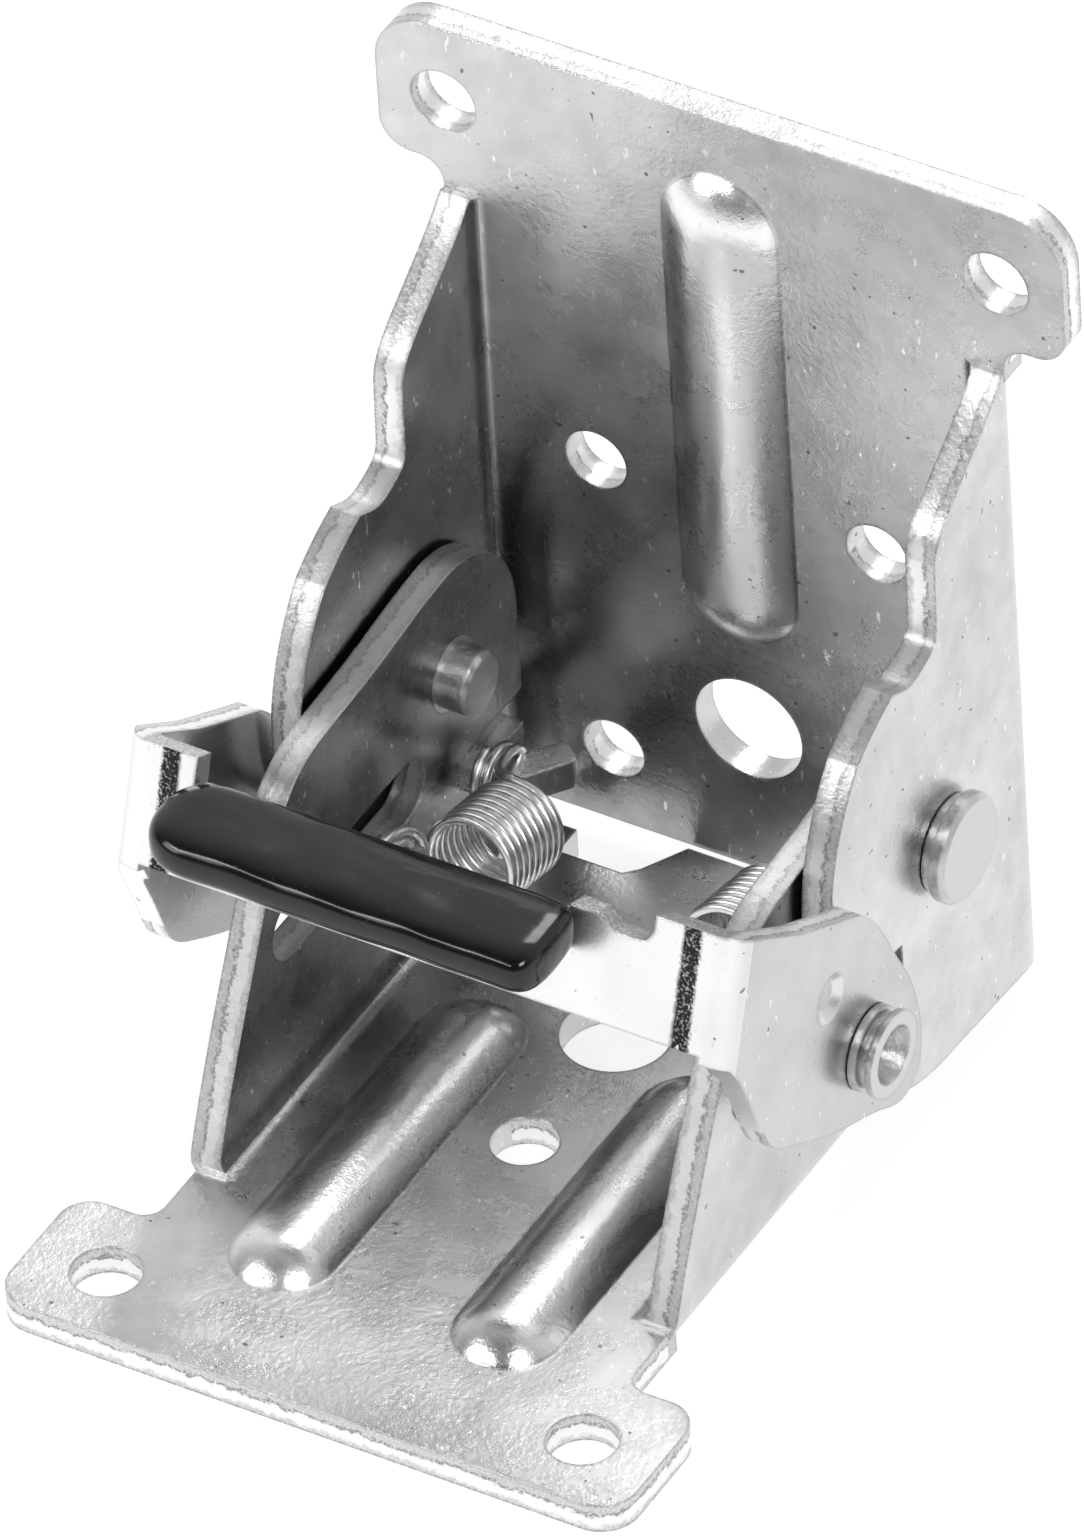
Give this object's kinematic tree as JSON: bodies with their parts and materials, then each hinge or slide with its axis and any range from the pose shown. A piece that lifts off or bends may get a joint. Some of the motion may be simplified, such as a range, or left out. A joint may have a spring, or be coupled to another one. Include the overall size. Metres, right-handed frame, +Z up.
{
  "type": "folding table leg bracket",
  "caption": "Folding bracket in plated sheet steel with nested channels, a pivoted upright plate, sprung lock pins and a gripped release lever.",
  "frame": {"origin": "middle of the width and of the depth, on the lying bracket's underside", "axes": "+X across the width to the right seen from the front, -Y towards the lying bracket's screw plate, +Z up along the upright bracket"},
  "size_m": [0.0572, 0.0688, 0.0739],
  "materials": {
    "zinc_plate": "bright zinc plated, faint spangle",
    "zinc_lever": "bright zinc plated",
    "rivet_steel": "zinc plated, turned and peened",
    "grip_vinyl": "glossy dipped vinyl",
    "spring_wire": "bright drawn wire"
  },
  "bodies": {
    "lower": {"lower_bracket": "zinc_plate", "left_pivot_rivet": "rivet_steel", "right_pivot_rivet": "rivet_steel", "left_spring": "spring_wire", "right_spring": "spring_wire"},
    "upper": {"upper_bracket": "zinc_plate"},
    "lock_pins": {"left_lock_pin": "rivet_steel", "right_lock_pin": "rivet_steel"},
    "lever": {"release_lever": "zinc_lever", "lever_grip": "grip_vinyl"}
  },
  "joints": [
    {"name": "fold", "type": "hinge", "parent": "lower", "child": "upper", "pos_m": [0, 0.0203, 0.0232], "axis": [1, 0, 0], "range_deg": [0, 90]},
    {"name": "pin_slide", "type": "slide", "parent": "lower", "child": "lock_pins", "axis": [0, -1, 0], "range_m": [0, 0.0073], "stiffness_N_per_m": 400, "springref_m": -0.003, "deforming": ["left_spring", "right_spring"]},
    {"name": "lever_tilt", "type": "hinge", "parent": "lock_pins", "child": "lever", "pos_m": [0, 0.0039, 0.0173], "axis": [1, 0, 0], "range_deg": [0, 24.1]}
  ],
  "couplings": [
    {"joint": "pin_slide", "follows": "fold", "m_per_rad": 0.004584},
    {"joint": "lever_tilt", "follows": "fold", "ratio": 0.26667}
  ]
}
